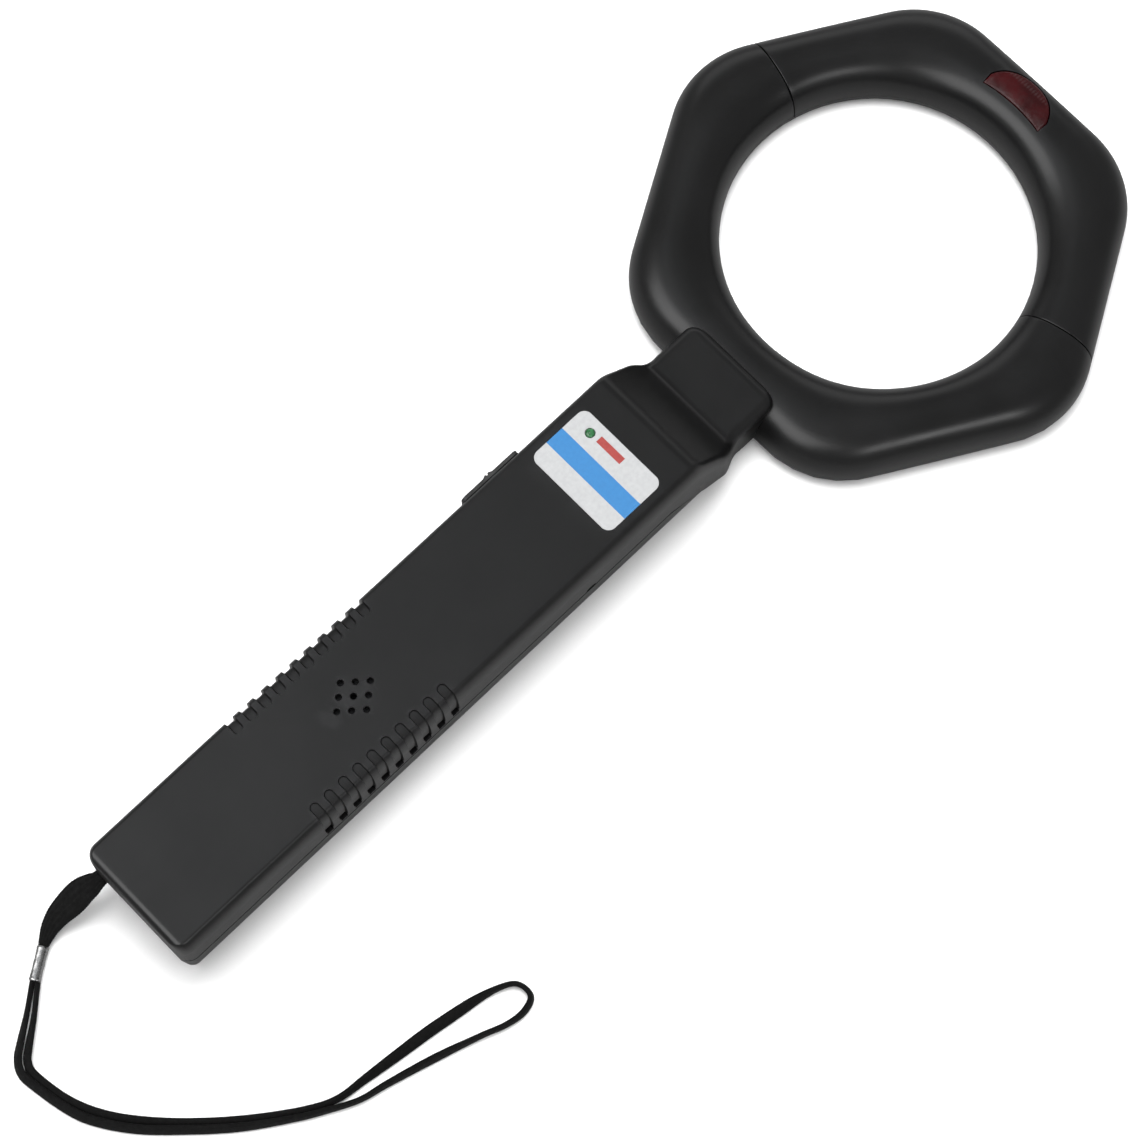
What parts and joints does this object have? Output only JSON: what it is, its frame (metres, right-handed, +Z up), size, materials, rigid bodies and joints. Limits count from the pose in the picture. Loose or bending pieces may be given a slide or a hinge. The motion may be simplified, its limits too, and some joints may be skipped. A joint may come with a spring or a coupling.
{
  "type": "hand-held metal detector",
  "caption": "Hand-held metal detector: hexagonal search ring with a red alarm lens, straight ribbed handle with a side slide switch, top label and power light, and a woven wrist strap.",
  "frame": {"origin": "on the table, midway between the handle's end and the ring's far side, on the handle's centre line", "axes": "+X from the handle's end towards the search ring, +Y towards the side with the slide switch, +Z up from the table, away from the flat underside"},
  "size_m": [0.4704, 0.1888, 0.0448],
  "materials": {
    "shell_plastic": "satin, finely textured",
    "trim_black": "satin",
    "red_lens": "clear red, polished",
    "green_lens": "clear green, polished",
    "label": "printed film",
    "natural_plastic": "plain",
    "copper": "enamelled copper wire",
    "board": "solder mask",
    "steel": "zinc plated",
    "nickel": "dull nickel",
    "brass": "plain",
    "blue_plastic": "plain",
    "component_black": "moulded",
    "component_blue": "sleeved",
    "battery_case": "printed",
    "wire_red": "insulated",
    "wire_yellow": "insulated",
    "webbing": "tubular weave"
  },
  "bodies": {
    "base": {"handle_top_shell": "shell_plastic", "handle_bottom_shell": "shell_plastic", "ring_near_cover": "shell_plastic", "ring_far_cover": "shell_plastic", "ring_bottom_shell": "shell_plastic", "alarm_lens": "red_lens", "alarm_led": "red_lens", "alarm_led_board": "board", "coil_former": "natural_plastic", "search_coil": "copper", "coil_cable": "wire_red", "led_cable": "wire_yellow", "label_plate": "label", "power_led": "green_lens", "switch_bezel": "trim_black", "switch_body": "steel", "trimmer_body": "blue_plastic", "circuit_board": "board", "buzzer": "component_black", "detector_chip": "component_black", "capacitors": "component_blue", "resistors": "natural_plastic", "battery": "battery_case", "battery_snap": "component_black", "battery_leads": "wire_red", "motor_cradle": "shell_plastic", "vibration_motor": "steel", "handle_screws": "steel", "ring_screws": "steel", "strap_pin": "steel", "strap_band": "webbing", "strap_ferrule": "nickel", "strap_loop": "webbing"},
    "power_switch": {"switch_knob": "trim_black"},
    "battery_cover": {"battery_door": "shell_plastic"},
    "motor_rotor": {"motor_weight": "brass"},
    "trimmer": {"trimmer_rotor": "brass"}
  },
  "joints": [
    {"name": "switch_slide", "type": "slide", "parent": "base", "child": "power_switch", "axis": [1, 0, 0], "range_m": [-0.002, 0.002]},
    {"name": "battery_cover_slide", "type": "slide", "parent": "base", "child": "battery_cover", "axis": [-1, 0, 0], "range_m": [0, 0.012]},
    {"name": "motor_spin", "type": "hinge", "parent": "base", "child": "motor_rotor", "pos_m": [-0.107, 0, 0.012], "axis": [1, 0, 0], "continuous": true},
    {"name": "trimmer_turn", "type": "hinge", "parent": "base", "child": "trimmer", "pos_m": [-0.031, -0.0185, 0.0276], "axis": [0, -1, 0], "range_deg": [-135, 135]}
  ]
}
